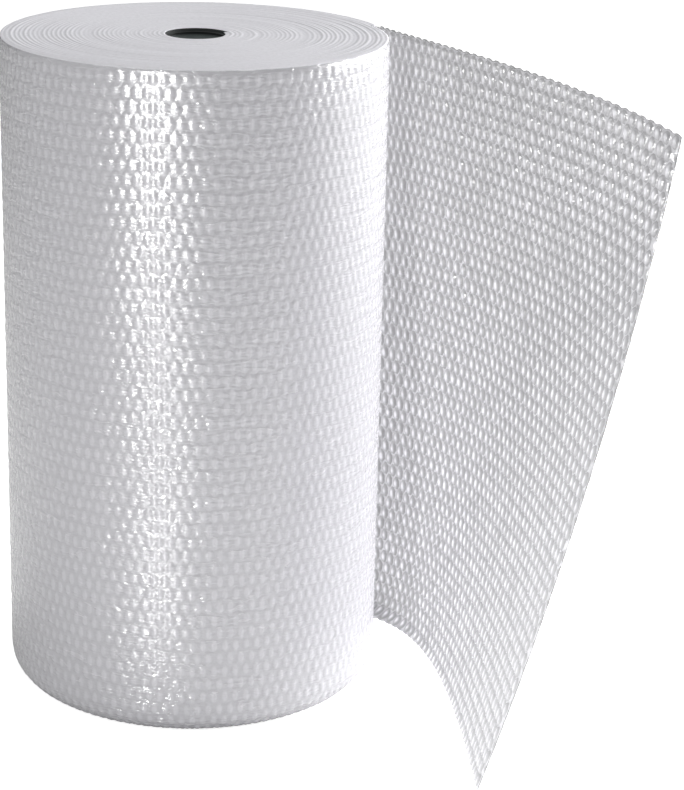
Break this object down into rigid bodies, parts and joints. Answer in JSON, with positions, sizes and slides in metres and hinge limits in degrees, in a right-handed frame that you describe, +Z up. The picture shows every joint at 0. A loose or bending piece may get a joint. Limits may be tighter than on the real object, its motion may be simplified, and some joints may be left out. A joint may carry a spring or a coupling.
{
  "type": "bubble wrap roll",
  "caption": "Large roll of clear bubble cushioning film standing on end, wound on a plain board core, with its loose end peeled off to one side and standing on its lower edge.",
  "frame": {"origin": "on the core's axis at the base that the roll stands on", "axes": "+Z up along the core, -Y towards the front, +X towards the side where the loose end stands out"},
  "size_m": [0.5655, 0.4309, 0.6],
  "materials": {
    "film": "clear soft film, glossy outside, milky where many layers lie together",
    "core_board": "plain grey wound board"
  },
  "bodies": {
    "root": {"bubble_film": "film", "core_tube": "core_board"}
  },
  "joints": []
}
